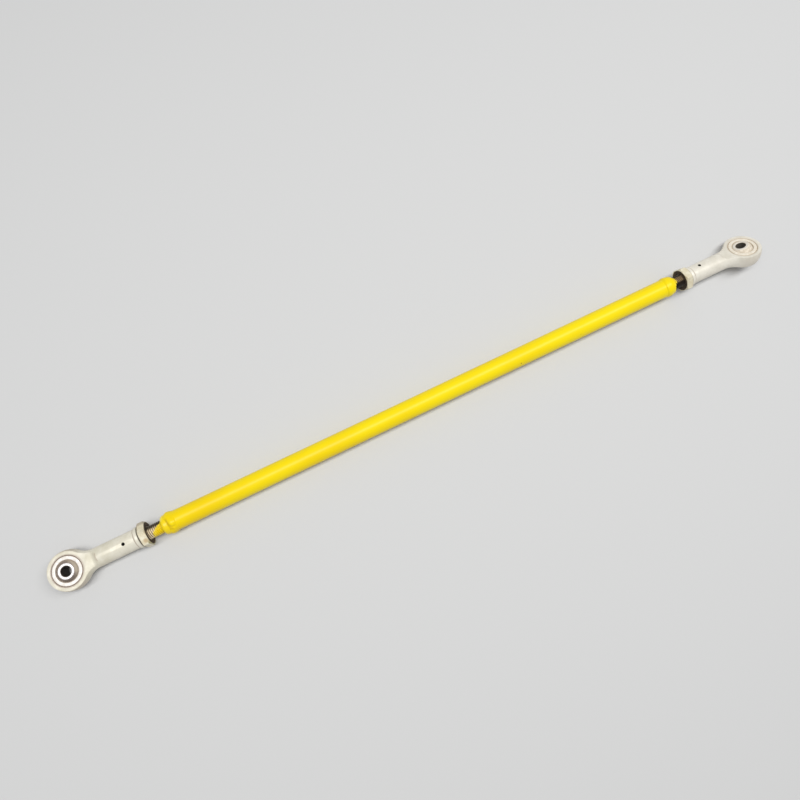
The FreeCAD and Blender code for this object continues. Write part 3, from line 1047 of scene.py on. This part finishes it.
# %% Shoulder and spigot
spigot_r, spigot_lead = tube_r - wall - 0.03, 0.8
round_length, round_height = 1.5, 0.85
shoulder_round = []
for step in range(11):
    angle = step * math.pi / 20
    shoulder_round.append((shoulder_x + round_length - round_length * math.cos(angle),
                           tube_r - round_height + round_height * math.sin(angle)))
shoulder = turned("shoulder", [
    (shoulder_x, 0), *shoulder_round, (seam_x - weld_bevel, tube_r), (seam_x, tube_r - weld_bevel),
    (seam_x, spigot_r), (plug_high.x - spigot_lead, spigot_r),
    (plug_high.x, spigot_r - spigot_lead), (plug_high.x, 0)], X, 96)
carve(stud, shoulder, "UNION")
right_plug = span("right_threaded_plug")
both_ends = right_plug[0].x + plug_high.x
to_right_plug = Matrix.Translation(X * both_ends) @ Matrix.Rotation(math.pi, 4, "Z")
stud_twin = moved(copied(stud, "plug_right"), to_right_plug)
fitted(stud, "left_threaded_plug", "rod", painted_plug("left"))
fitted(stud_twin, "right_threaded_plug", "rod", painted_plug("right"))

# %% [markdown]
# Weld beads
# The plug is welded to the tube all round, and the bead shows through the paint: a raised ring
# that wanders a little, with a crisp toe where the weld lapped over cold metal and a lump where
# the welder stopped. A plain ring is spun first. Then each of its points is moved by a rule that
# knows which way round the rod it faces: the ring's middle, its width and its height all vary. A
# few waves of random phase, the same ones each run, keep its edges from looking ruled.

# %% Slopes and lumps
def slope_height(share, crisp):
    """How high a slope is, share of the way up. A crisp one rises at once, a soft one late."""
    t = min(1, max(0, share))
    return (1 - crisp) * (t * t * (3 - 2 * t)) + crisp * (t * (2 - t))


def lump_height(ahead_of, below, reach, lift, moat):
    """A soft dome, at an offset from its middle, with a shallow moat round one side of it."""
    off = math.hypot(ahead_of, below) / reach
    this_side = max(0, below - ahead_of) / (1.414 * reach * off + 0.01)
    return lift * (math.exp(-off ** 3) - moat * this_side * math.exp(-((off - 1.3) / 0.3) ** 2))


def near_front(degrees, spread):
    """1 at the front of the rod, fading to 0 further round."""
    return math.exp(-(degrees / spread) ** 4)


print("halfway up a soft and a crisp slope:", slope_height(0.5, 0), slope_height(0.5, 1))


# %% Bead builder
BURIED, DOME, RIPPLE_ALONG, RIPPLE_OUT = 0.02, 0.3, 0.05, 0.02


def weld_bead(name, seam, front, rule, lumps, seed):
    """rule takes the angle from the front, in degrees, and gives where the bead starts and ends,
    its height, the share of its width that each slope takes, and how crisp each slope is."""
    root = [(seam - weld_bevel, tube_r), (seam, tube_r - weld_bevel), (seam + weld_bevel, tube_r)]
    dome = [(seam + math.cos(math.pi * k / 32), tube_r + DOME * math.sin(math.pi * k / 32))
            for k in range(33)]
    bead = turned(name, root + dome + root[:1], X, 120)
    across = X.cross(front)
    wobble = random.Random(seed)
    waves = [(n, wobble.uniform(0, math.tau), wobble.uniform(0.3, 1) / n ** 0.5)
             for n in (2, 3, 5, 8, 13)]
    for vertex in bead.data.vertices:
        radius = math.hypot(vertex.co.y, vertex.co.z)
        on_bevel = abs(abs(vertex.co.x - seam) - weld_bevel) < 0.001 and radius < tube_r + 0.001
        if radius < tube_r - 0.001 or on_bevel:
            continue
        around = math.atan2(vertex.co.dot(across), vertex.co.dot(front))
        degrees = math.degrees(around)
        ripple = sum(size * math.sin(n * around + phase) for n, phase, size in waves)
        start, end, height, slopes, crisp = rule(degrees)
        share = (1 + vertex.co.x - seam) / 2
        rise = slope_height(share / slopes[0], crisp[0])
        fall = slope_height((1 - share) / slopes[1], crisp[1])
        new_x = start + (end - start) * share + RIPPLE_ALONG * ripple
        new_r = tube_r - BURIED + rise * fall * (height + RIPPLE_OUT * ripple)
        for place, angle, reach, lift, moat in lumps:
            below = tube_r * math.radians(degrees - angle)
            new_r += lump_height(new_x - place, below, reach, lift, moat) * min(1, 6 * rise * fall)
        vertex.co.x = new_x
        vertex.co.y *= new_r / radius
        vertex.co.z *= new_r / radius
    return bead


print("a bead is buried", BURIED, "mm in the tube")


# %% Left bead
# A lump is (place along the rod, degrees from the front, reach, lift, depth of its moat).
LEFT_LUMPS = [(51.2, 0, 2.5, 0.14, 0), (51.1, 2, 1.5, 0.38, 0.8)]
facing_left = Vector((0, -0.0906, 0.9959))


def left_rule(degrees):
    front = near_front(degrees - 12, 42)
    start, end, height = 47.0 + 1.9 * front, 52.5 + 0.6 * front, 0.72 - 0.22 * front
    return start, end, height, (0.40 - 0.28 * front, 0.65), (front, 0.0)


bead_left = weld_bead("weld_bead_left", seam_x, facing_left, left_rule, LEFT_LUMPS, 5)
fitted(bead_left, "left_weld_bead", "rod", yellow_crease_shaded, 50)

# %% Right bead
# The right plug sits nearer its eye. The bead is shaped at the left end and turned round after.
NEARER = 1.9
RIGHT_LUMPS = [(48.9, -8, 0.8, 0.08, 0)]
facing_right = Vector((0, 0.0906, 0.9959))


def right_rule(degrees):
    front = near_front(degrees + 10, 45)
    return 44.7, 49.8, 0.50, (0.5, 0.42 - 0.28 * front), (0.3, front)


bead_right = weld_bead(
    "weld_bead_right", seam_x - NEARER, facing_right, right_rule, RIGHT_LUMPS, 11)
moved(bead_right, to_right)
fitted(bead_right, "right_weld_bead", "rod", yellow, 50)
